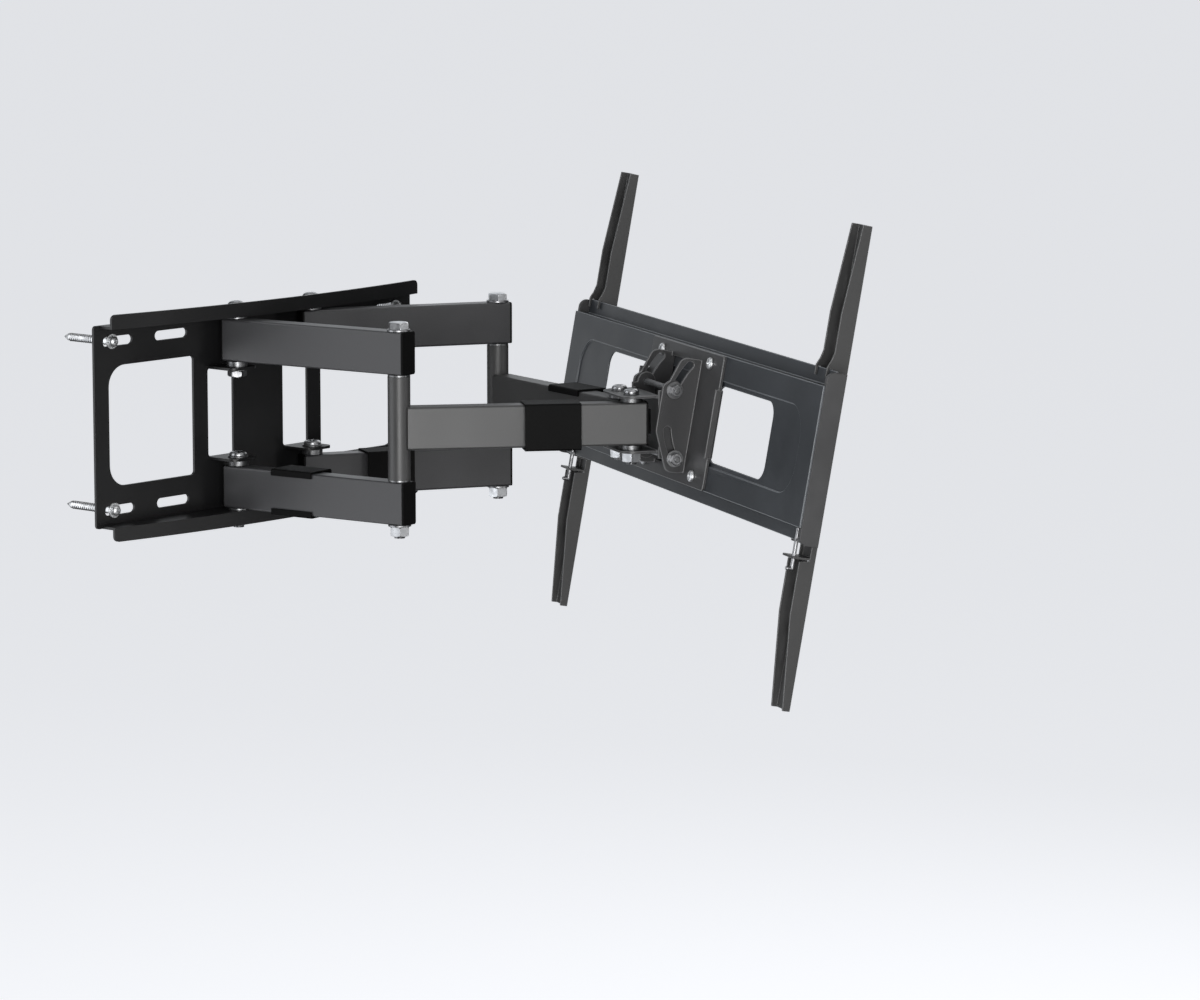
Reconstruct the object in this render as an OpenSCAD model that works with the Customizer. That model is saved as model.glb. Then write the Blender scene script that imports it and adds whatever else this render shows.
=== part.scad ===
// Dual-arm full-motion wall mount for a flat panel.
// Origin: centre of the wall plate's back face. +X to the right facing the wall,
// +Y into the wall, +Z up. Millimetres.

/* [Wall plate] */
// Width of the wall plate
plate_w = 428; // [420:1:440]
// Height over the top and bottom flanges
plate_h = 189.4; // [189:0.2:190]
// Thickness of the folded sheet
plate_t = 2.5; // [2:0.5:3]
// Depth of the flanges at mid width
flange_depth = 37; // [36:0.5:39]
// Height of the lips along the flanges' front edges
lip_h = 11; // [8:0.5:12]
// Width of the screw slots
slot_w = 9; // [8:0.5:9]
// Half distance between the outer screw slots along X
slot_x = 184; // [180:1:186]
// Half distance between the screw slots along Z
slot_z = 79; // [78:0.5:80]
// Length of the outer screw slots
slot_len = 38; // [30:1:38]

/* [Arms] */
// Distance between the pivots of a wall arm
arm_len = 189.4; // [189:0.1:190]
// Distance between the pivots of a forearm
forearm_len = 217.6; // [217:0.1:218]
// Height of the rectangular tubes
tube_h = 40; // [40:1:40]
// Width of the rectangular tubes
tube_w = 20; // [19:0.5:21]
// Wall thickness of the tubes
tube_t = 2; // [1.5:0.5:2.5]
// Diameter of the pivot bolts
bolt_d = 10; // [9:0.5:10]
// Half distance between the wall pivots
pivot_x = 50.5; // [50:0.1:51]
// Distance from the wall to the wall pivots
pivot_y = 25; // [25:0.1:26]
// Diameter of the elbow sleeves
sleeve_d = 21; // [20:0.5:22]

/* [Pose at rest] */
// Direction of the left wall arm
left_arm_angle = -83.39; // [-84:0.01:-83]
// Direction of the left forearm
left_fore_angle = -40.34; // [-41:0.01:-40]
// Direction of the right wall arm
right_arm_angle = -28.89; // [-29.5:0.01:-28.5]
// Direction of the head's pivot line
head_angle = 60.7; // [60:0.1:61]
// Forward tilt of the interface plate
tilt = 10.07; // [9.5:0.01:10.5]

/* [Head] */
// Distance between the two head pivots
head_pitch = 32; // [31:0.5:33]
// Distance from the head pivots to the tilt bolts
tilt_bolt_d = 33.7; // [33:0.1:34]
// Half distance between the tilt bolts
tilt_bolt_z = 32; // [31:0.5:33]
// Distance from the head pivots to the virtual tilt axis
tilt_axis_d = 103; // [102:0.5:104]

/* [Interface plate] */
// Half width of the interface plate
face_w = 320; // [316:1:321]
// Half height of its front face
face_h = 63.25; // [62:0.25:64]
// Depth of its folded section
face_d = 14; // [13:0.5:14]

/* [Rails] */
// Width of a rail
rail_w = 27; // [26:1:28]
// Top end of the rails
rail_top = 207; // [205:1:210]
// Bottom end of the rails
rail_bottom = -229; // [-232:1:-226]
// Middle of the left rail along the plate
left_rail_s = 299; // [290:1:300]
// Middle of the right rail along the plate
right_rail_s = -286; // [-300:1:-270]

/* [Hidden] */
$fn = 48;

bore_d = bolt_d + 0.1;          // running clearance 0.05 on the radius
pz = plate_h / 2;
arc_c = 1222.4 - flange_depth;  // centre of the flanges' front arc
tab_z = 42;                     // inner face of the inner tabs
up_z = 70;                      // middle of the upper tubes
al = left_arm_angle; af = left_fore_angle; ar = right_arm_angle;
LW = [-pivot_x, -pivot_y];
RW = [pivot_x, -pivot_y];
LE = LW + arm_len * [cos(al), sin(al)];
RE = RW + arm_len * [cos(ar), sin(ar)];
LH = LE + forearm_len * [cos(af), sin(af)];
RH = LH + head_pitch * [cos(head_angle), sin(head_angle)];
M = (LH + RH) / 2;
rv = RH - RE;
right_fore_len = norm(rv);
right_fore_angle = atan2(rv[1], rv[0]);
over = 9.5;                     // tube beyond the wall and elbow pivots
over_h = 12.5;                  // forearm beyond the head pivot
open_bore_d = bolt_d + 2.6;     // clearance of the loop's open pivot

// ---------- small shapes ----------
module rr(x0, y0, x1, y1, r) {
  translate([x0 + r, y0]) square([x1 - x0 - 2 * r, y1 - y0]);
  translate([x0, y0 + r]) square([x1 - x0, y1 - y0 - 2 * r]);
  for (x = [x0 + r, x1 - r], y = [y0 + r, y1 - r]) translate([x, y]) circle(r = r);
}
module slot2(cx, cy, len, w) {
  translate([cx - (len - w) / 2, cy - w / 2]) square([len - w, w]);
  for (s = [-1, 1]) translate([cx + s * (len - w) / 2, cy]) circle(d = w);
}
// extrude a drawing in (X, Z) from y0 to y1
module along_y(y0, y1) translate([0, y1, 0]) rotate([90, 0, 0]) linear_extrude(y1 - y0) children();
// extrude a drawing in (Y, Z) from x0 to x1
module along_x(x0, x1) translate([x0, 0, 0]) rotate([90, 0, 90]) linear_extrude(x1 - x0) children();
module ring(d, bore, h) difference() { cylinder(d = d, h = h); translate([0, 0, -1]) cylinder(d = bore, h = h + 2); }
module hexnut(af, bore, h) difference() {
  intersection() {
    cylinder(d = af / cos(30), h = h, $fn = 6);
    rotate_extrude() polygon([[0, 0], [af / 2 - 0.2, 0], [af / 2 + 0.75, 0.6], [af / 2 + 1.6, 1.2], [af / 2 + 1.6, h - 1.2], [af / 2 + 0.75, h - 0.6], [af / 2 - 0.2, h], [0, h]]);
  }
  translate([0, 0, -1]) cylinder(d = bore, h = h + 2);
}
module hexhead(af, h) intersection() {
  cylinder(d = af / cos(30), h = h, $fn = 6);
  rotate_extrude() polygon([[0, 0], [af / 2 + 1.6, 0], [af / 2 + 1.6, h - 1.3], [af / 2 - 0.3, h], [0, h]]);
}
// lock nut with its round collar on top
module locknut(af, bore, h) difference() {
  union() {
    hexhead(af, h * 0.68);
    cylinder(d = af * 0.86, h = h * 0.9);
    cylinder(d = af * 0.74, h = h);
  }
  translate([0, 0, -1]) cylinder(d = bore, h = h + 2);
}
// plain domed head, seated at z = 0
module domehead(d, h) rotate_extrude() polygon(concat([[0, 0], [d / 2 - 0.3, 0], [d / 2, 0.5], [d / 2, h * 0.35]],
  [for (a = [15:15:75]) [d / 2 - h * 0.65 * 0.9 * (1 - cos(a)) - (d * 0.12) * (1 - cos(a)), h * 0.35 + h * 0.65 * sin(a)]],
  [[0, h]]));
// the same with a cross recess
module panhead(d, h) difference() {
  domehead(d, h);
  for (a = [0, 90]) rotate([0, 0, a + 20]) translate([-d * 0.27, -d * 0.05, h - h * 0.45]) cube([d * 0.54, d * 0.1, h]);
}
// round-cornered tube from s0 to s1 along X, centred on z = 0
module box_tube(s0, s1) along_x(s0, s1) difference() {
  rr(-tube_w / 2, -tube_h / 2, tube_w / 2, tube_h / 2, 2.2);
  rr(-tube_w / 2 + tube_t, -tube_h / 2 + tube_t, tube_w / 2 - tube_t, tube_h / 2 - tube_t, 0.8);
}
module at(p, a) translate([p[0], p[1], 0]) rotate([0, 0, a]) children();

// ---------- wall plate ----------
module flange() {
  // horizontal sheet with its curved front edge
  translate([0, 0, pz - plate_t]) linear_extrude(plate_t) difference() {
    intersection() {
      translate([0, arc_c]) circle(r = 1222.4, $fn = 400);
      translate([-207, -60]) square([414, 60]);
    }
    for (x = [-pivot_x, pivot_x]) translate([x, -pivot_y]) circle(d = bolt_d + 0.4);
  }
  // lip turned outward along the front edge, with rounded ends
  intersection() {
    translate([0, arc_c, pz - plate_t]) difference() {
      cylinder(r = 1222.4, h = lip_h + plate_t, $fn = 400);
      translate([0, 0, -1]) cylinder(r = 1222.4 - plate_t, h = lip_h + plate_t + 2, $fn = 400);
    }
    along_y(-60, 0) union() {
      translate([-207, pz - plate_t]) square([414, plate_t + 3]);
      translate([-202, pz]) square([404, lip_h]);
      for (s = [-1, 1]) translate([s * 202, pz + lip_h - 5]) circle(r = 5);
      translate([-207, pz]) square([414, lip_h - 5]);
    }
  }
}
module inner_tab(s) translate([s * pivot_x, 0, 0]) difference() {
  union() {
    translate([-17, -29, tab_z]) cube([34, 29, plate_t]);
    translate([-9, -37, tab_z]) cube([18, 9, plate_t]);
    for (k = [-1, 1]) translate([k * 9, -29, tab_z]) cylinder(r = 8, h = plate_t);
  }
  translate([0, -pivot_y, tab_z - 1]) cylinder(d = bolt_d + 0.4, h = plate_t + 2);
}
module wall_plate() color("#1f1f1f") union() {
  along_y(-plate_t, 0) difference() {
    rr(-plate_w / 2, -pz, plate_w / 2, pz, 3.5);
    for (s = [-1, 1]) {
      // large windows, rounder on their outer side
      mirror([s > 0 ? 0 : 1, 0]) {
        translate([90, -57]) square([86, 113]);
        translate([86, -53]) square([10, 105]);
        translate([170, -37]) square([26, 73]);
        for (z = [-37, 36]) translate([176, z]) circle(r = 20);
        for (z = [-53, 52]) translate([90, z]) circle(r = 4);
      }
      rr(s > 0 ? 33.5 : -67.5, -tab_z, s > 0 ? 67.5 : -33.5, tab_z, 3);
      for (z = [-slot_z, slot_z]) {
        slot2(s * slot_x, z, slot_len, slot_w);
        slot2(s * 115, z, 42, slot_w);
      }
    }
  }
  for (m = [0, 1]) mirror([0, 0, m]) {
    flange();
    for (s = [-1, 1]) inner_tab(s);
  }
}
module wall_screws() color("#c9cacc") for (x = [-192, 192], z = [-slot_z, slot_z]) translate([x, -plate_t - 1.6, z]) rotate([90, 0, 0]) {
  panhead(9.8, 4.8);
  translate([0, 0, -2]) cylinder(d = 6, h = 2.05);
  translate([0, 0, -58]) cylinder(d = 6.6, h = 56.05);
  translate([0, 0, -64]) cylinder(d1 = 0.8, d2 = 6.6, h = 6.02);
}
module wall_screw_washers() color("#d4d5d7") for (x = [-192, 192], z = [-slot_z, slot_z])
  translate([x, -plate_t, z]) rotate([90, 0, 0]) ring(14.2, 6.8, 1.6);
module upper_pivot_bolts() color("#c4c6c8") for (s = [-1, 1]) translate([s * pivot_x, -pivot_y, 0]) {
  // pan head on its collar above the flange, shank down through flange, tube and tab
  translate([0, 0, tab_z - 8]) cylinder(d = bolt_d, h = pz + 6.1 - tab_z + 8);
  translate([0, 0, pz + 1.8]) cylinder(d = 14, h = 4.3);
  translate([0, 0, pz + 6]) rotate([0, 0, 25 * s]) panhead(16.6, 6);
}
module lower_pivot_bolts() color("#c4c6c8") for (s = [-1, 1]) translate([s * pivot_x, -pivot_y, 0]) {
  translate([0, 0, -109]) cylinder(d = bolt_d, h = 109 - tab_z + 2);
  translate([0, 0, -tab_z + 1.4]) rotate([0, 0, 20 * s]) panhead(17, 4.4);
}
module wall_pivot_nuts() color("#cfd0d2") for (s = [-1, 1]) translate([s * pivot_x, -pivot_y, 0]) {
  translate([0, 0, tab_z - 1.4]) mirror([0, 0, 1]) rotate([0, 0, 12]) hexnut(16, bolt_d, 5.6);
  mirror([0, 0, 1]) translate([0, 0, pz + 1.8]) locknut(16, bolt_d, 10.5);
}
module wall_pivot_washers() color("#cfd0d2") for (s = [-1, 1], m = [0, 1]) mirror([0, 0, m]) translate([s * pivot_x, -pivot_y, 0]) {
  translate([0, 0, pz]) ring(16.4, bolt_d + 0.2, 1.8);
  translate([0, 0, up_z + 20.2]) ring(20, bolt_d + 0.2, pz - plate_t - up_z - 20.2);
  translate([0, 0, tab_z + plate_t]) ring(20, bolt_d + 0.2, up_z - 20.2 - tab_z - plate_t);
  translate([0, 0, tab_z - 1.4]) ring(19, bolt_d + 0.2, 1.4);
}

// ---------- wall arms ----------
module arm_tube(z) difference() {
  translate([0, 0, z]) box_tube(-over, arm_len + over);
  for (x = [0, arm_len]) translate([x, 0, z - 30]) cylinder(d = bore_d, h = 60);
}
module plug(z) translate([0, 0, z]) {
  along_x(0, 2) rr(-tube_w / 2, -tube_h / 2, tube_w / 2, tube_h / 2, 2.2);
  along_x(-2.2, 0.01) rr(-tube_w / 2 + tube_t + 0.05, -tube_h / 2 + tube_t + 0.05, tube_w / 2 - tube_t - 0.05, tube_h / 2 - tube_t - 0.05, 0.8);
}
module arm_plugs() for (z = [-up_z, up_z]) {
  translate([arm_len + over, 0, 0]) plug(z);
  mirror([1, 0, 0]) translate([over, 0, 0]) plug(z);
}
module arm_spacers() for (x = [0, arm_len], z = [-up_z, up_z])
  translate([x, 0, z - tube_h / 2 + tube_t]) ring(14, bore_d, tube_h - 2 * tube_t);
module elbow_bolt() translate([arm_len, 0, 0]) {
  translate([0, 0, -103]) cylinder(d = bolt_d, h = 195);
  translate([0, 0, 91.8]) rotate([0, 0, 17]) hexhead(17, 6.6);
}
module elbow_nut() translate([arm_len, 0, -91.8]) mirror([0, 0, 1]) rotate([0, 0, 7]) hexnut(17, bolt_d, 9);
module elbow_washers() translate([arm_len, 0, 0]) {
  translate([0, 0, 90]) ring(21.5, bolt_d + 0.2, 1.8);
  translate([0, 0, -91.8]) ring(21.5, bolt_d + 0.2, 1.8);
}
// open C-shaped clip on the lower tube; its cable channel lies on the side k
module arm_clip(s0, s1, k) mirror([0, k > 0 ? 0 : 1, 0]) translate([0, 0, -up_z]) along_x(s0, s1) difference() {
  union() {
    rr(-12, -22, 21, 22, 2.4);
  }
  rr(-10.2, -20.15, 19.3, 20.15, 0.8);
  translate([-13, -15.6]) square([4, 31.2]);
}
module left_arm() at(LW, al) children();
module right_arm() at(RW, ar) children();
module left_arm_upper_tube() color("#5f6064") left_arm() arm_tube(up_z);
module left_arm_lower_tube() color("#5f6064") left_arm() arm_tube(-up_z);
module left_arm_end_plugs() color("#242424") left_arm() arm_plugs();
module left_arm_spacers() color("#9a9b9d") left_arm() arm_spacers();
module left_elbow_bolt() color("#cfd0d2") left_arm() elbow_bolt();
module left_elbow_nut() color("#d8d9da") left_arm() elbow_nut();
module left_elbow_washers() color("#c8c9cb") left_arm() elbow_washers();
module left_arm_cable_clip() color("#121212") left_arm() arm_clip(48, 95, 1);
module right_arm_upper_tube() color("#4b4b4d") right_arm() arm_tube(up_z);
module right_arm_lower_tube() color("#4b4b4d") right_arm() arm_tube(-up_z);
module right_arm_end_plugs() color("#242424") right_arm() arm_plugs();
module right_arm_spacers() color("#9a9b9d") right_arm() arm_spacers();
module right_elbow_bolt() color("#cfd0d2") right_arm() elbow_bolt();
module right_elbow_nut() color("#d8d9da") right_arm() elbow_nut();
module right_elbow_washers() color("#c8c9cb") right_arm() elbow_washers();
module right_arm_cable_clip() color("#121212") right_arm() arm_clip(50, 97, -1);

// ---------- forearms ----------
module fore(len, head_bore) difference() {
  union() {
    translate([0, 0, -48]) cylinder(d = sleeve_d, h = 96);
    along_x(7, len + over_h) rr(-tube_w / 2, -tube_h / 2, tube_w / 2, tube_h / 2, 2.2);
  }
  along_x(13, len + over_h + 1) rr(-tube_w / 2 + tube_t, -tube_h / 2 + tube_t, tube_w / 2 - tube_t, tube_h / 2 - tube_t, 0.8);
  translate([0, 0, -50]) cylinder(d = bore_d, h = 100);
  translate([len, 0, -30]) cylinder(d = head_bore, h = 60);
}
module slip_washers() for (m = [0, 1]) mirror([0, 0, m]) translate([0, 0, 48]) ring(sleeve_d - 0.4, bore_d, 1.8);
module fore_plug(len) translate([len + over_h, 0, 0]) plug(0);
// cable clip that wraps the forearm, with its channel on the side k
module fore_clip(s0, s1, k) mirror([0, k > 0 ? 0 : 1, 0]) along_x(s0, s1) difference() {
  rr(-12, -22, 21, 22, 2.4);
  rr(-10.2, -20.15, 19.3, 20.15, 0.8);
  translate([-13, -15.6]) square([4, 31.2]);
}
module left_fore() at(LE, af) children();
module right_fore() at(RE, right_fore_angle) children();
module left_forearm() color("#7b7b7b") left_fore() fore(forearm_len, bore_d);
module left_forearm_end_plug() color("#181818") left_fore() fore_plug(forearm_len);
module left_forearm_cable_clip() color("#121212") left_fore() fore_clip(115, 167.5, -1);
module left_elbow_slip_washers() color("#8a8a8a") left_fore() slip_washers();
module right_forearm() color("#505053") right_fore() fore(right_fore_len, open_bore_d);
module right_forearm_end_plug() color("#181818") right_fore() fore_plug(right_fore_len);
module right_forearm_cable_clip() color("#121212") right_fore() fore_clip(112, 164, 1);
module right_elbow_slip_washers() color("#8a8a8a") right_fore() slip_washers();

// ---------- swivel head: X along the pivot line, -Y toward the panel ----------
module head() translate([M[0], M[1], 0]) rotate([0, 0, head_angle]) children();
hp = head_pitch / 2;
module bracket_plate() translate([0, 0, 24.5]) linear_extrude(2.5) difference() {
  union() {
    translate([-33, -22]) square([66, 22]);
    translate([-19, -1]) square([38, 15]);
    for (s = [-1, 1]) translate([s * 19, 0]) circle(r = 14);
  }
  for (s = [-1, 1]) translate([s * hp, 0]) circle(d = bolt_d + 0.2);
}
module head_bracket() color("#3a3a3c") head() difference() {
  union() {
    for (m = [0, 1]) mirror([0, 0, m]) bracket_plate();
    translate([-36, -22, -27]) cube([72, 2.5, 54]);
    for (s = [-1, 1]) along_x(s > 0 ? 33 : -36, s > 0 ? 36 : -33) union() {
      translate([-tilt_bolt_d - 8, -tilt_bolt_z]) square([tilt_bolt_d + 8 - 19.5, 2 * tilt_bolt_z]);
      for (k = [-1, 1]) translate([-tilt_bolt_d, k * tilt_bolt_z]) circle(r = 9);
    }
  }
  for (k = [-1, 1]) translate([-50, -tilt_bolt_d, k * tilt_bolt_z]) rotate([0, 90, 0]) cylinder(d = 6.1, h = 100);
  translate([-15, -23, -12]) cube([30, 5, 24]);
}
module head_pivot_bolts() color("#d2d3d5") head() for (s = [-1, 1]) translate([s * hp, 0, 0]) {
  translate([0, 0, 27.8]) domehead(14.4, 4.4);
  translate([0, 0, -38.5]) cylinder(d = bolt_d, h = 66.4);
}
module head_pivot_nuts() color("#dcdddf") head() for (s = [-1, 1]) translate([s * hp, 0, -27]) mirror([0, 0, 1]) rotate([0, 0, 40]) hexnut(17, bolt_d, 9);
module head_bushes() color("#b9babb") head() for (s = [-1, 1], m = [0, 1]) mirror([0, 0, m]) translate([s * hp, 0, 0]) {
  translate([0, 0, 20.2]) ring(20, bolt_d + 0.1, 4.3);
  if (m == 0) translate([0, 0, 27]) ring(15.4, bolt_d + 0.1, 0.8);
}
module tilt_bolts() color("#b8b9bb") head() for (k = [-1, 1]) translate([0, -tilt_bolt_d, k * tilt_bolt_z]) rotate([0, 90, 0])
  rotate_extrude() polygon([[0, -48.6], [2.2, -48.6], [3, -47.8], [3, 47.8], [2.2, 48.6], [0, 48.6]]);
module tilt_nuts() color("#c6c7c9") head() for (k = [-1, 1], s = [0, 1]) mirror([s, 0, 0]) translate([41.4, -tilt_bolt_d, k * tilt_bolt_z]) rotate([0, 90, 0]) rotate([0, 0, 10]) hexnut(10, 6, 5.4);
module tilt_washers() color("#b4b5b7") head() for (k = [-1, 1], s = [0, 1]) mirror([s, 0, 0]) translate([39.7, -tilt_bolt_d, k * tilt_bolt_z]) rotate([0, 90, 0]) ring(16, 6.1, 1.7);

// ---------- tilt carrier: X along the plate, Z up the plate, -Y toward the panel ----------
module tilted() head() translate([0, -55.11, 5.67]) rotate([tilt, 0, 0]) children();
slot_r = norm([tilt_axis_d - tilt_bolt_d, tilt_bolt_z]);
slot_a = atan2(tilt_bolt_z, tilt_axis_d - tilt_bolt_d);
function arc(cx, cy, r, a0, a1, n) = [for (i = [0:n]) let (a = a0 + (a1 - a0) * i / n) [cx + r * cos(a), cy + r * sin(a)]];
// arc slot about the virtual axis; a0 is the rod's place at rest, seen from the axis
module arc_slot(a0) rotate(-tilt) translate([55.11 - tilt_axis_d, -5.67]) union() {
  intersection() {
    difference() { circle(r = slot_r + 3.5); circle(r = slot_r - 3.5); }
    polygon([[0, 0], for (a = [0, 7, 14, 21]) 100 * [cos(a0 + a), sin(a0 + a)]]);
  }
  for (a = [0, 21]) translate(slot_r * [cos(a0 + a), sin(a0 + a)]) circle(r = 3.5);
}
module cheek2d() difference() {
  polygon(concat([[1.5, 52.5], [1.5, -52.5], [10, -54]],
    arc(16, -46.5, 7.6, -95, -18, 6), arc(32, -17, 5, -20, 0, 3), arc(32.2, 23, 5, 0, 50, 4),
    [[31.5, 30]], arc(16.4, 44.6, 9, 20, 92, 7), [[5, 53.6]]));
  arc_slot(slot_a);
  arc_slot(-slot_a);
}
module tilt_carrier() color("#46464a") tilted() union() {
  // back plate with its two side tabs; the cheeks are bent out of its opening
  along_y(0, 3) difference() {
    rr(-91, -63, 91, 63, 3);
    translate([-36.5, -50]) square([73, 100]);
    for (s = [-1, 1], w = [-53, 53]) translate([s * 62, w]) circle(d = 6.4);
  }
  for (s = [0, 1]) mirror([s, 0, 0]) {
    translate([0, 0, -32]) linear_extrude(64) union() {
      translate([90, 0]) square([4, 3]);
      intersection() {
        translate([94, 5.6]) difference() { circle(r = 5.6); circle(r = 2.6); }
        translate([94, 0]) square([5.6, 5.6]);
      }
      translate([96.6, 5.6]) square([3, 3.6]);
    }
    translate([36.5, 0, 0]) along_x(0, 3) cheek2d();
  }
}
module carrier_screws() color("#d6d7d9") tilted() for (s = [-1, 1], w = [-53, 53]) translate([s * 62, 3, w]) rotate([-90, 0, 0]) {
  rotate([0, 0, 15 * s]) panhead(11, 3.6);
  translate([0, 0, -8]) cylinder(d = 6, h = 8.05);
}

// ---------- interface plate ----------
module hat2d() {
  // drawn as (-n, w): the flanges and lips of the folded section
  for (k = [0, 1]) mirror([0, k]) {
    translate([-face_d, face_h - 2]) square([face_d, 2]);
    translate([-face_d, face_h - 2]) square([2, 16]);
  }
}
module interface_plate() color("#41464c") tilted() difference() {
  union() {
    along_x(-face_w, face_w) translate([-2, -face_h]) square([2, 2 * face_h]);
    along_x(-face_w + 5, face_w - 5) hat2d();
    // shallow pressed recess in the face
    translate([0, -2.0, 0]) along_y(-1.6, 0.01) rr(-289, -42, 289, 42, 32);
  }
  // front of the pressed recess
  along_y(-1.6, 1) rr(-287, -40, 287, 40, 30);
  // windows
  along_y(-8, 2) rr(-216, -35.5, -80, 35.5, 14);
  along_y(-8, 2) rr(80, -35.5, 210, 35.5, 14);
  for (s = [-1, 1], w = [-53, 53]) translate([s * 62, 5, w]) rotate([90, 0, 0]) cylinder(d = 6.1, h = 12);
}
module end_cap() {
  // outer wall that closes the folded section, rounded toward the plate
  along_x(face_w - 4.8, face_w) union() {
    translate([-21, -79]) square([10.9, 155]);
    translate([-10.1, -71]) square([8, 139]);
    for (w = [-71, 68]) translate([-10.1, w]) circle(r = 8);
  }
  // spigot inside the section
  along_x(face_w - 17, face_w - 4.7) difference() {
    translate([-face_d + 0.2, -face_h + 2.2]) square([face_d - 4, 2 * face_h - 4.4]);
    translate([-face_d + 2.2, -face_h + 4.2]) square([face_d - 8, 2 * face_h - 8.4]);
  }
}
module left_end_cap() color("#3c3c3e") tilted() end_cap();
module right_end_cap() color("#3c3c3e") tilted() mirror([1, 0, 0]) end_cap();

// ---------- panel rails ----------
rail_n = 29.7;
rod_n = 9.9; rod_s = 9.5; rod_d = 3.8;   // lock rod: place behind the lip, offset along the plate, diameter
module web2d() polygon([
  [-rail_n, rail_bottom], [-22.4, rail_bottom], [-14.3, -143],
  [-14.3, -95], [-24, -93.5], [-24, -81], [-14.4, -79.5],
  [-14.4, 77.4], [-11.6, 77.4], [-11.6, 70], [-9.6, 69.4], [-9.2, 70.2], [-9.3, 78.4], [-10.4, 81], [-12.2, 84.5], [-14.3, 92],
  [-14.3, 127], [-20.7, rail_top], [-rail_n, rail_top]]);
module rail(s) tilted() translate([s, 0, 0]) difference() {
  union() {
    for (k = [-1, 1]) along_x(k > 0 ? rail_w / 2 - 2 : -rail_w / 2, k > 0 ? rail_w / 2 : -rail_w / 2 + 2) web2d();
    translate([0, 0, 0]) along_y(-rail_n, -rail_n + 2) difference() {
      rr(-rail_w / 2, rail_bottom, rail_w / 2, rail_top, 1.5);
      for (w = [-200, 200]) translate([0, w]) circle(d = 8.5);
      for (w = [-175, -140, -105, -50, 0, 50, 100, 150]) rotate(90) slot2(w, 0, 26, 8.5);
    }
    // cross tab that guides the lock rod
    translate([-15, -rail_n + 6.2, -93]) cube([24.5, 16.5, 2]);
    translate([-rail_w / 2 + 1, -rail_n + 1, -93]) cube([rail_w - 2, 8, 2]);
  }
  translate([-rod_s, -rod_n, -100]) cylinder(d = rod_d + 0.3, h = 10);
}
module lock_rod(s) tilted() translate([s - rod_s, -rod_n, 0]) {
  translate([0, 0, -102.3]) cylinder(d = rod_d, h = 36.3);
  translate([0, 0, -66.1]) sphere(d = rod_d);
  // flattened ears that stop against the tab, and the pull foot bent out below it
  translate([-3.2, -1.5, -77.4]) cube([6.4, 3, 2.2]);
  translate([0, 0, -102.3]) sphere(d = rod_d);
  translate([0, 0, -102.3]) rotate([-90, 0, 0]) cylinder(d = rod_d, h = 4.5);
  translate([0, 4.5, -102.3]) sphere(d = rod_d);
}
module left_rail() color("#464648") rail(left_rail_s);
module right_rail() color("#464648") rail(right_rail_s);
module left_lock_rod() color("#bfc0c2") lock_rod(left_rail_s);
module right_lock_rod() color("#bfc0c2") lock_rod(right_rail_s);

wall_plate();
wall_screws();
wall_screw_washers();
upper_pivot_bolts();
lower_pivot_bolts();
wall_pivot_nuts();
wall_pivot_washers();
left_arm_upper_tube();
left_arm_lower_tube();
left_arm_end_plugs();
left_arm_spacers();
left_elbow_bolt();
left_elbow_nut();
left_elbow_washers();
left_arm_cable_clip();
left_forearm();
left_forearm_end_plug();
left_forearm_cable_clip();
left_elbow_slip_washers();
right_arm_upper_tube();
right_arm_lower_tube();
right_arm_end_plugs();
right_arm_spacers();
right_elbow_bolt();
right_elbow_nut();
right_elbow_washers();
right_arm_cable_clip();
right_forearm();
right_forearm_end_plug();
right_forearm_cable_clip();
right_elbow_slip_washers();
head_bracket();
head_pivot_bolts();
head_pivot_nuts();
head_bushes();
tilt_bolts();
tilt_nuts();
tilt_washers();
tilt_carrier();
carrier_screws();
interface_plate();
left_end_cap();
right_end_cap();
left_rail();
right_rail();
left_lock_rod();
right_lock_rod();
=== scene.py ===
import math
import bmesh
import bpy
from mathutils import Matrix, Vector


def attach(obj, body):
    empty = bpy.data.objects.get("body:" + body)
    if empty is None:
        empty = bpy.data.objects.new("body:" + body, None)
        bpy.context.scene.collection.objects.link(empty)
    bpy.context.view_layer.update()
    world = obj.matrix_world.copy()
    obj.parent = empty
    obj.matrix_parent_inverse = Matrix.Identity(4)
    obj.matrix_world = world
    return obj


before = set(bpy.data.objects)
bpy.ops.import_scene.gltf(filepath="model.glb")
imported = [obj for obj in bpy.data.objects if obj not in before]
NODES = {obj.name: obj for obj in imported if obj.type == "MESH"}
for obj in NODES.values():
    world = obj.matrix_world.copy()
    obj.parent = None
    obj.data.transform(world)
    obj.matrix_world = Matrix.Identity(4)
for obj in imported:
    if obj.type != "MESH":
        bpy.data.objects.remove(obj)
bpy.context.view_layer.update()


# ------------------------------------------------------------------ camera
cam_data = bpy.data.cameras.new("camera")
cam_data.lens = 145.212
cam_data.sensor_width = 36.0
cam_data.sensor_fit = "HORIZONTAL"
cam_data.clip_end = 400.0
cam = bpy.data.objects.new("camera", cam_data)
bpy.context.scene.collection.objects.link(cam)
AZ, EL = math.radians(-49.417), math.radians(8.565)
back = Vector((math.sin(AZ) * math.cos(EL), -math.cos(AZ) * math.cos(EL), math.sin(EL)))
cam.location = (-3.27547, -3.23879, 0.60044)
cam.rotation_euler = (-back).to_track_quat("-Z", "Y").to_euler()
bpy.context.scene.camera = cam

# ------------------------------------------------------------------ materials


def nodes_of(name):
    m = bpy.data.materials.new(name)
    m.use_nodes = True
    nt = m.node_tree
    return m, nt, nt.nodes["Principled BSDF"]


def setv(b, **kw):
    for k, v in kw.items():
        b.inputs[k.replace("_", " ")].default_value = v


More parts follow.
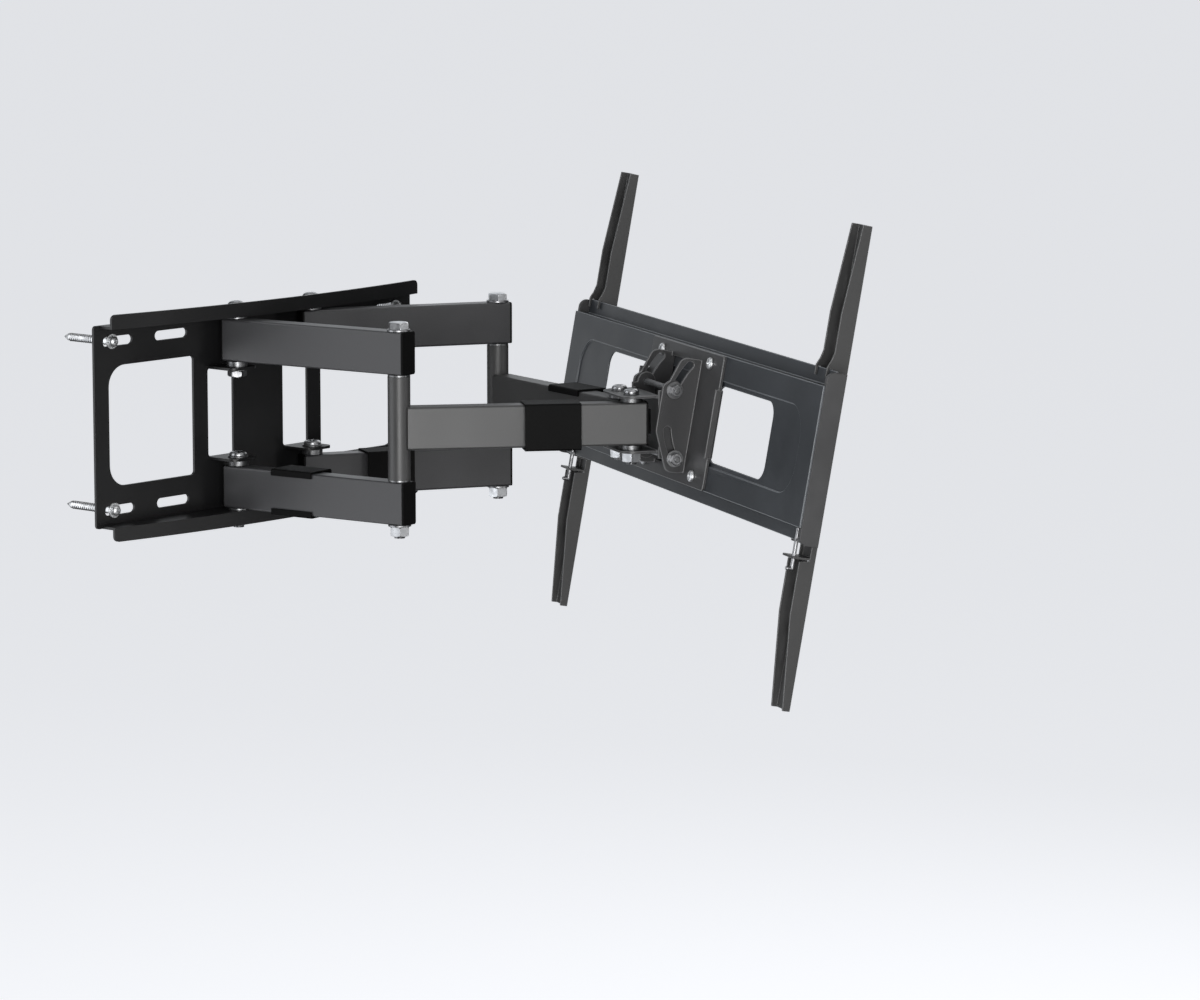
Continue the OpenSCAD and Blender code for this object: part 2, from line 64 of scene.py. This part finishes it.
def noise(nt, scale, detail=2.0, rough=0.5, stretch=None):
    tc = nt.nodes.new("ShaderNodeTexCoord")
    mp = nt.nodes.new("ShaderNodeMapping")
    if stretch:
        mp.inputs["Scale"].default_value = stretch
    nz = nt.nodes.new("ShaderNodeTexNoise")
    nz.inputs["Scale"].default_value = scale
    nz.inputs["Detail"].default_value = detail
    nz.inputs["Roughness"].default_value = rough
    nt.links.new(tc.outputs["Object"], mp.inputs["Vector"])
    nt.links.new(mp.outputs["Vector"], nz.inputs["Vector"])
    return nz


def ramp(nt, src, lo, hi, p0=0.35, p1=0.65):
    r = nt.nodes.new("ShaderNodeValToRGB")
    r.color_ramp.elements[0].position = p0
    r.color_ramp.elements[1].position = p1
    r.color_ramp.elements[0].color = (*lo, 1.0) if len(lo) == 3 else lo
    r.color_ramp.elements[1].color = (*hi, 1.0) if len(hi) == 3 else hi
    nt.links.new(src, r.inputs["Fac"])
    return r


def powder_coat(name, colour, rough=0.42, spec=0.5, grain=0.10, wear=0.0):
    """Baked powder coat: fine orange peel and a slow drift of gloss; lighter copies of it paint highlights on
    rounded edges.
    """
    m, nt, b = nodes_of(name)
    c = colour
    cloud = noise(nt, 14.0, 3.0)
    r = ramp(nt, cloud.outputs["Fac"], [v * 0.90 for v in c], [min(1.0, v * 1.10) for v in c])
    fine = noise(nt, 900.0, 2.0)
    mix = nt.nodes.new("ShaderNodeMix")
    mix.data_type = "RGBA"
    mix.blend_type = "MULTIPLY"
    mix.inputs["Factor"].default_value = 0.18
    fr = ramp(nt, fine.outputs["Fac"], (0.62, 0.62, 0.62), (1.0, 1.0, 1.0), 0.30, 0.60)
    nt.links.new(r.outputs["Color"], mix.inputs["A"])
    nt.links.new(fr.outputs["Color"], mix.inputs["B"])
    nt.links.new(mix.outputs["Result"], b.inputs["Base Color"])
    rr = ramp(nt, cloud.outputs["Fac"], (rough - 0.035,) * 3, (rough + 0.035,) * 3)
    nt.links.new(rr.outputs["Color"], b.inputs["Roughness"])
    peel = noise(nt, 620.0, 3.0, 0.55)
    wave = noise(nt, 130.0, 1.0)
    b1 = nt.nodes.new("ShaderNodeBump")
    b1.inputs["Strength"].default_value = grain
    b1.inputs["Distance"].default_value = 0.00012
    b2 = nt.nodes.new("ShaderNodeBump")
    b2.inputs["Strength"].default_value = grain * 0.6
    b2.inputs["Distance"].default_value = 0.0002
    nt.links.new(wave.outputs["Fac"], b2.inputs["Height"])
    nt.links.new(peel.outputs["Fac"], b1.inputs["Height"])
    nt.links.new(b2.outputs["Normal"], b1.inputs["Normal"])
    nt.links.new(b1.outputs["Normal"], b.inputs["Normal"])
    setv(b, Metallic=0.0, Specular_IOR_Level=spec)
    return m


def moulded(name, colour, rough=0.5, spec=0.45):
    m, nt, b = nodes_of(name)
    fine = noise(nt, 1400.0, 2.0)
    cloud = noise(nt, 30.0, 2.0)
    r = ramp(nt, cloud.outputs["Fac"], [v * 0.88 for v in colour], [v * 1.14 for v in colour])
    nt.links.new(r.outputs["Color"], b.inputs["Base Color"])
    rr = ramp(nt, fine.outputs["Fac"], (rough - 0.06,) * 3, (rough + 0.06,) * 3)
    nt.links.new(rr.outputs["Color"], b.inputs["Roughness"])
    bp = nt.nodes.new("ShaderNodeBump")
    bp.inputs["Strength"].default_value = 0.22
    bp.inputs["Distance"].default_value = 0.00008
    nt.links.new(fine.outputs["Fac"], bp.inputs["Height"])
    nt.links.new(bp.outputs["Normal"], b.inputs["Normal"])
    setv(b, Specular_IOR_Level=spec)
    return m


def zinc(name, colour=(0.66, 0.67, 0.68), rough=0.26, streak=(1.0, 1.0, 1.0), pitch=0.0, turn=(0.0, 0.0, 0.0)):
    """Bright zinc plate with faint turning marks and a cloudy passivated film.
    With a pitch it is a threaded shank: fine bands across the axis, which turn brings onto Z."""
    m, nt, b = nodes_of(name)
    cloud = noise(nt, 160.0, 3.0)
    r = ramp(nt, cloud.outputs["Fac"], [v * 0.86 for v in colour], [min(1.0, v * 1.08) for v in colour])
    nt.links.new(r.outputs["Color"], b.inputs["Base Color"])
    rr = ramp(nt, cloud.outputs["Fac"], (rough + 0.10,) * 3, (rough - 0.04,) * 3)
    nt.links.new(rr.outputs["Color"], b.inputs["Roughness"])
    lines = noise(nt, 1500.0, 1.0, 0.5, streak)
    bp = nt.nodes.new("ShaderNodeBump")
    bp.inputs["Strength"].default_value = 0.12
    bp.inputs["Distance"].default_value = 0.00005
    nt.links.new(lines.outputs["Fac"], bp.inputs["Height"])
    if pitch:
        tc = nt.nodes.new("ShaderNodeTexCoord")
        mp = nt.nodes.new("ShaderNodeMapping")
        mp.inputs["Rotation"].default_value = turn
        wv = nt.nodes.new("ShaderNodeTexWave")
        wv.wave_type = "BANDS"
        wv.bands_direction = "Z"
        wv.inputs["Scale"].default_value = 2.0 * math.pi / (20.0 * pitch)
        nt.links.new(tc.outputs["Object"], mp.inputs["Vector"])
        nt.links.new(mp.outputs["Vector"], wv.inputs["Vector"])
        b2 = nt.nodes.new("ShaderNodeBump")
        b2.inputs["Strength"].default_value = 0.8
        b2.inputs["Distance"].default_value = 0.0006
        nt.links.new(wv.outputs["Fac"], b2.inputs["Height"])
        nt.links.new(b2.outputs["Normal"], bp.inputs["Normal"])
    nt.links.new(bp.outputs["Normal"], b.inputs["Normal"])
    setv(b, Metallic=1.0)
    return m


MAT = {
    # Wall plate coat: near black, and set darker still as painted shade for the shade the panel casts on the plate.
    "plate": powder_coat("plate_coat_painted_shade", (0.006, 0.006, 0.0064), 0.42, 0.38),
    "tube": powder_coat("tube_coat", (0.032, 0.032, 0.034), 0.38, 0.5),
    "fore": powder_coat("forearm_coat", (0.037, 0.037, 0.037), 0.43, 0.55),
    # Interface plate coat and its edge copy: their blue cast is a painted reflection of a pale bluish wall.
    "face": powder_coat("face_coat_painted_reflection", (0.026, 0.0295, 0.034), 0.42, 0.4),
    "rail": powder_coat("rail_coat", (0.034, 0.034, 0.034), 0.42, 0.5),
    "head": powder_coat("head_coat", (0.029, 0.029, 0.030), 0.40, 0.5),
    # Lighter copies of the coats for the bevelled edges: painted highlights along the edges.
    "face_edge_painted_highlight": powder_coat("face_edge_painted_highlight", (0.120, 0.128, 0.138), 0.36, 0.5),
    "head_edge_painted_highlight": powder_coat("head_edge_painted_highlight", (0.100, 0.100, 0.102), 0.36, 0.5),
    "rail_edge_painted_highlight": powder_coat("rail_edge_painted_highlight", (0.085, 0.085, 0.086), 0.38, 0.5),
    "clip": moulded("clip_plastic", (0.0020, 0.0020, 0.0020), 0.62, 0.09),
    "plug": moulded("plug_plastic", (0.0022, 0.0022, 0.0022), 0.55, 0.10),
    "cap": moulded("cap_plastic", (0.040, 0.040, 0.041), 0.5, 0.4),
    # Zinc copies of one plating with base colours set part by part: the darker ones are painted shade and painted
    # reflection of dark surroundings, the lighter ones painted light.
    "zinc": zinc("zinc_plate_painted_reflection", (0.38, 0.385, 0.395), 0.27),
    "zinc_head_painted_light": zinc("zinc_head_painted_light", (0.56, 0.57, 0.585), 0.30),
    "zinc_screw_painted_light": zinc("zinc_screw_painted_light", (0.66, 0.67, 0.68), 0.42),
    "zinc_grey_painted_shade": zinc("zinc_grey_painted_shade", (0.27, 0.272, 0.28), 0.34),
    "zinc_painted_deep_shade": zinc("zinc_painted_deep_shade", (0.20, 0.202, 0.206), 0.36),
    "thread": zinc("zinc_thread", (0.30, 0.302, 0.31), 0.30, pitch=0.0015),
    "thread_painted_shade": zinc("zinc_thread_painted_shade", (0.18, 0.182, 0.186), 0.34, pitch=0.001,
                        turn=(0.0, math.radians(-90.0), math.radians(-60.7))),
    "screw": zinc("screw_thread", (0.30, 0.302, 0.31), 0.30),
}


def material_for(n):
    if n == "wall_plate":
        return "plate"
    if "tube" in n:
        return "tube"
    if n in ("left_forearm", "right_forearm"):
        return "fore"
    if "clip" in n:
        return "clip"
    if "plug" in n:
        return "plug"
    if "end_cap" in n:
        return "cap"
    if n == "interface_plate":
        return "face"
    if n in ("left_rail", "right_rail"):
        return "rail"
    if n in ("head_bracket", "tilt_carrier"):
        return "head"
    # Each fastener takes the zinc copy whose painted shade or painted light matches its place.
    if n in ("tilt_washers", "tilt_bolts", "left_elbow_slip_washers", "right_elbow_slip_washers",
             "left_arm_spacers", "right_arm_spacers", "wall_pivot_washers", "head_bushes"):
        return "zinc_painted_deep_shade"
    if n in ("left_lock_rod", "right_lock_rod", "left_elbow_washers", "right_elbow_washers", "tilt_nuts",
             "wall_pivot_nuts"):
        return "zinc_grey_painted_shade"
    if n in ("left_elbow_bolt", "right_elbow_bolt", "left_elbow_nut", "right_elbow_nut", "head_pivot_nuts"):
        return "zinc_head_painted_light"
    if n in ("wall_screws", "wall_screw_washers", "carrier_screws"):
        return "zinc_screw_painted_light"
    return "zinc"


def finish_node(o, mat, width, angle=28.0, segments=2, edge=None, clamp=True):
    """One coat on the piece, and where edge is given a lighter one on its rounded edges as a painted highlight."""
    o.data.materials.clear()
    o.data.materials.append(mat)
    if edge:
        o.data.materials.append(edge)
    w = o.modifiers.new("weld", "WELD")
    w.merge_threshold = 0.000002
    d = o.modifiers.new("flat", "DECIMATE")
    d.decimate_type = "DISSOLVE"
    d.angle_limit = math.radians(0.4)
    b = o.modifiers.new("edge", "BEVEL")
    b.width = width
    b.segments = segments
    b.limit_method = "ANGLE"
    b.angle_limit = math.radians(angle)
    b.harden_normals = False
    b.use_clamp_overlap = clamp
    # the bevel's faces take the lighter coat: a painted highlight along each edge
    if edge:
        b.material = 1
    n = o.modifiers.new("normals", "WEIGHTED_NORMAL")
    n.mode = "FACE_AREA"
    n.weight = 100
    n.keep_sharp = False
    for p in o.data.polygons:
        p.use_smooth = True


WIDTH = {"wall_plate": 0.0006, "interface_plate": 0.0007, "tilt_carrier": 0.0007, "head_bracket": 0.0007,
         "left_rail": 0.0005, "right_rail": 0.0005, "left_end_cap": 0.0006, "right_end_cap": 0.0006, "tilt_nuts": 0.00015, "tilt_washers": 0.0002,
         "tilt_bolts": 0.00015, "head_bushes": 0.0002}
SHEETS = ("interface_plate", "tilt_carrier", "head_bracket", "left_rail", "right_rail",
          "left_end_cap", "right_end_cap")
# Parts whose rounded edges carry a lighter coat, a painted highlight.
PAINTED_EDGE_HIGHLIGHT = {"interface_plate": "face_edge_painted_highlight", "tilt_carrier": "head_edge_painted_highlight", "head_bracket": "head_edge_painted_highlight",
        "left_rail": "rail_edge_painted_highlight", "right_rail": "rail_edge_painted_highlight"}
for n, o in NODES.items():
    wd = WIDTH.get(n, 0.0003)
    finish_node(o, MAT[material_for(n)], wd, segments=3 if wd > 0.00065 else 2,
                edge=MAT[PAINTED_EDGE_HIGHLIGHT[n]] if n in PAINTED_EDGE_HIGHLIGHT else None, clamp=n not in SHEETS)

# threaded shanks: the long faces of each bolt take the threaded finish
THREADS = {"left_elbow_bolt": ("thread", (0.0, 0.0, 1.0)), "right_elbow_bolt": ("thread", (0.0, 0.0, 1.0)),
           "upper_pivot_bolts": ("thread", (0.0, 0.0, 1.0)), "lower_pivot_bolts": ("thread", (0.0, 0.0, 1.0)),
           "head_pivot_bolts": ("thread", (0.0, 0.0, 1.0)),
           "tilt_bolts": ("thread_painted_shade", (math.cos(math.radians(60.7)), math.sin(math.radians(60.7)), 0.0))}
for n, (mat, axis) in THREADS.items():
    me = NODES[n].data
    me.materials.append(MAT[mat])
    ax = Vector(axis)
    for p in me.polygons:
        along = [me.vertices[i].co.dot(ax) for i in p.vertices]
        if max(along) - min(along) > 0.012:
            p.material_index = 1


def screw_thread(name, start, length, root, crest, pitch, body):
    """Coarse thread wound on a shank that runs along +Y from start; it fades out at both ends."""
    bm = bmesh.new()
    per = 20
    total = int(length / pitch * per)
    half = pitch * 0.27
    rows = []
    for i in range(total + 1):
        a = 2.0 * math.pi * i / per
        y = length * i / total
        fade = min(1.0, i / (per * 0.8), (total - i) / (per * 0.8))
        r = root - 0.0001 + (crest - root + 0.0001) * fade
        row = []
        for rad, dy in ((root - 0.0002, -half), (r, -half * 0.15), (r, half * 0.15), (root - 0.0002, half)):
            row.append(bm.verts.new((start[0] + rad * math.cos(a), start[1] + y + dy, start[2] + rad * math.sin(a))))
        rows.append(row)
    for r0, r1 in zip(rows, rows[1:]):
        for k in range(3):
            bm.faces.new((r0[k], r0[k + 1], r1[k + 1], r1[k]))
        bm.faces.new((r0[3], r0[0], r1[0], r1[3]))
    bm.faces.new(rows[0][::-1])
    bm.faces.new(rows[-1])
    bmesh.ops.recalc_face_normals(bm, faces=bm.faces)
    me = bpy.data.meshes.new(name)
    bm.to_mesh(me)
    bm.free()
    me.materials.append(MAT["screw"])
    o = bpy.data.objects.new(name, me)
    bpy.context.scene.collection.objects.link(o)
    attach(o, body)
    return o


for i, (x, z) in enumerate(((-0.192, -0.079), (0.192, -0.079), (-0.192, 0.079), (0.192, 0.079))):
    screw_thread("lag_thread_%d" % (i + 1), (x, 0.004, z), 0.050, 0.0033, 0.00395, 0.0028, "wall_frame")

# ------------------------------------------------------------------ stage
fm = bpy.data.materials.new("floor")
fm.use_nodes = True
fb = fm.node_tree.nodes["Principled BSDF"]
setv(fb, Base_Color=(0.80, 0.81, 0.83, 1.0), Roughness=0.95, Specular_IOR_Level=0.05,
     Emission_Color=(0.95, 0.965, 1.0, 1.0), Emission_Strength=0.72)
bpy.ops.mesh.primitive_plane_add(size=240.0, location=(30.0, 30.0, -1.15))
floor = bpy.context.object
floor.name = "floor"
floor.data.materials.append(fm)
floor.visible_diffuse = False
floor.visible_glossy = False
floor.visible_shadow = False

bpy.context.scene.view_settings.view_transform = "Standard"
world = bpy.data.worlds.new("studio")
bpy.context.scene.world = world
world.use_nodes = True
wn = world.node_tree.nodes["Background"]
wn.inputs["Color"].default_value = (0.94, 0.96, 1.0, 1.0)
wn.inputs["Strength"].default_value = 0.09


def softbox(name, az, el, dist, size, radiance, colour=(1, 1, 1), target=(0.1, -0.3, 0.0)):
    """Rectangular light at a direction from the object; radiance is its surface brightness."""
    a, e = math.radians(az), math.radians(el)
    t = Vector(target)
    v = Vector((math.cos(a) * math.cos(e), math.sin(a) * math.cos(e), math.sin(e)))
    d = bpy.data.lights.new(name, "AREA")
    d.shape = "RECTANGLE"
    d.size, d.size_y = size
    d.energy = radiance * math.pi * size[0] * size[1]
    d.color = colour
    o = bpy.data.objects.new(name, d)
    o.location = t + v * dist
    o.rotation_euler = (-v).to_track_quat("-Z", "Y").to_euler()
    o.visible_camera = False
    bpy.context.scene.collection.objects.link(o)
    return o


softbox("key", -137.0, 0.0, 2.6, (1.1, 2.2), 8.5)
softbox("key_side", -101.0, 0.0, 2.6, (1.0, 2.2), 1.2)
softbox("wall_left", 90.0, 0.0, 0.9, (2.9, 3.0), 1.9, (0.95, 0.97, 1.0), (-1.85, -0.3, 0.0))
softbox("wall_right", 90.0, 0.0, 0.9, (1.3, 3.0), 0.75, (0.93, 0.965, 1.0), (0.95, -0.3, 0.0))
softbox("top", -120.0, 80.0, 2.2, (2.4, 2.0), 1.0)
softbox("side", 15.0, 25.0, 3.0, (2.0, 2.0), 1.2)
softbox("plate_glint", -62.0, -8.0, 2.6, (0.5, 2.0), 2.6, (1.0, 1.0, 1.0), (-0.2, 0.0, 0.0))
softbox("fill", -70.0, 50.0, 3.0, (1.6, 1.6), 0.8)
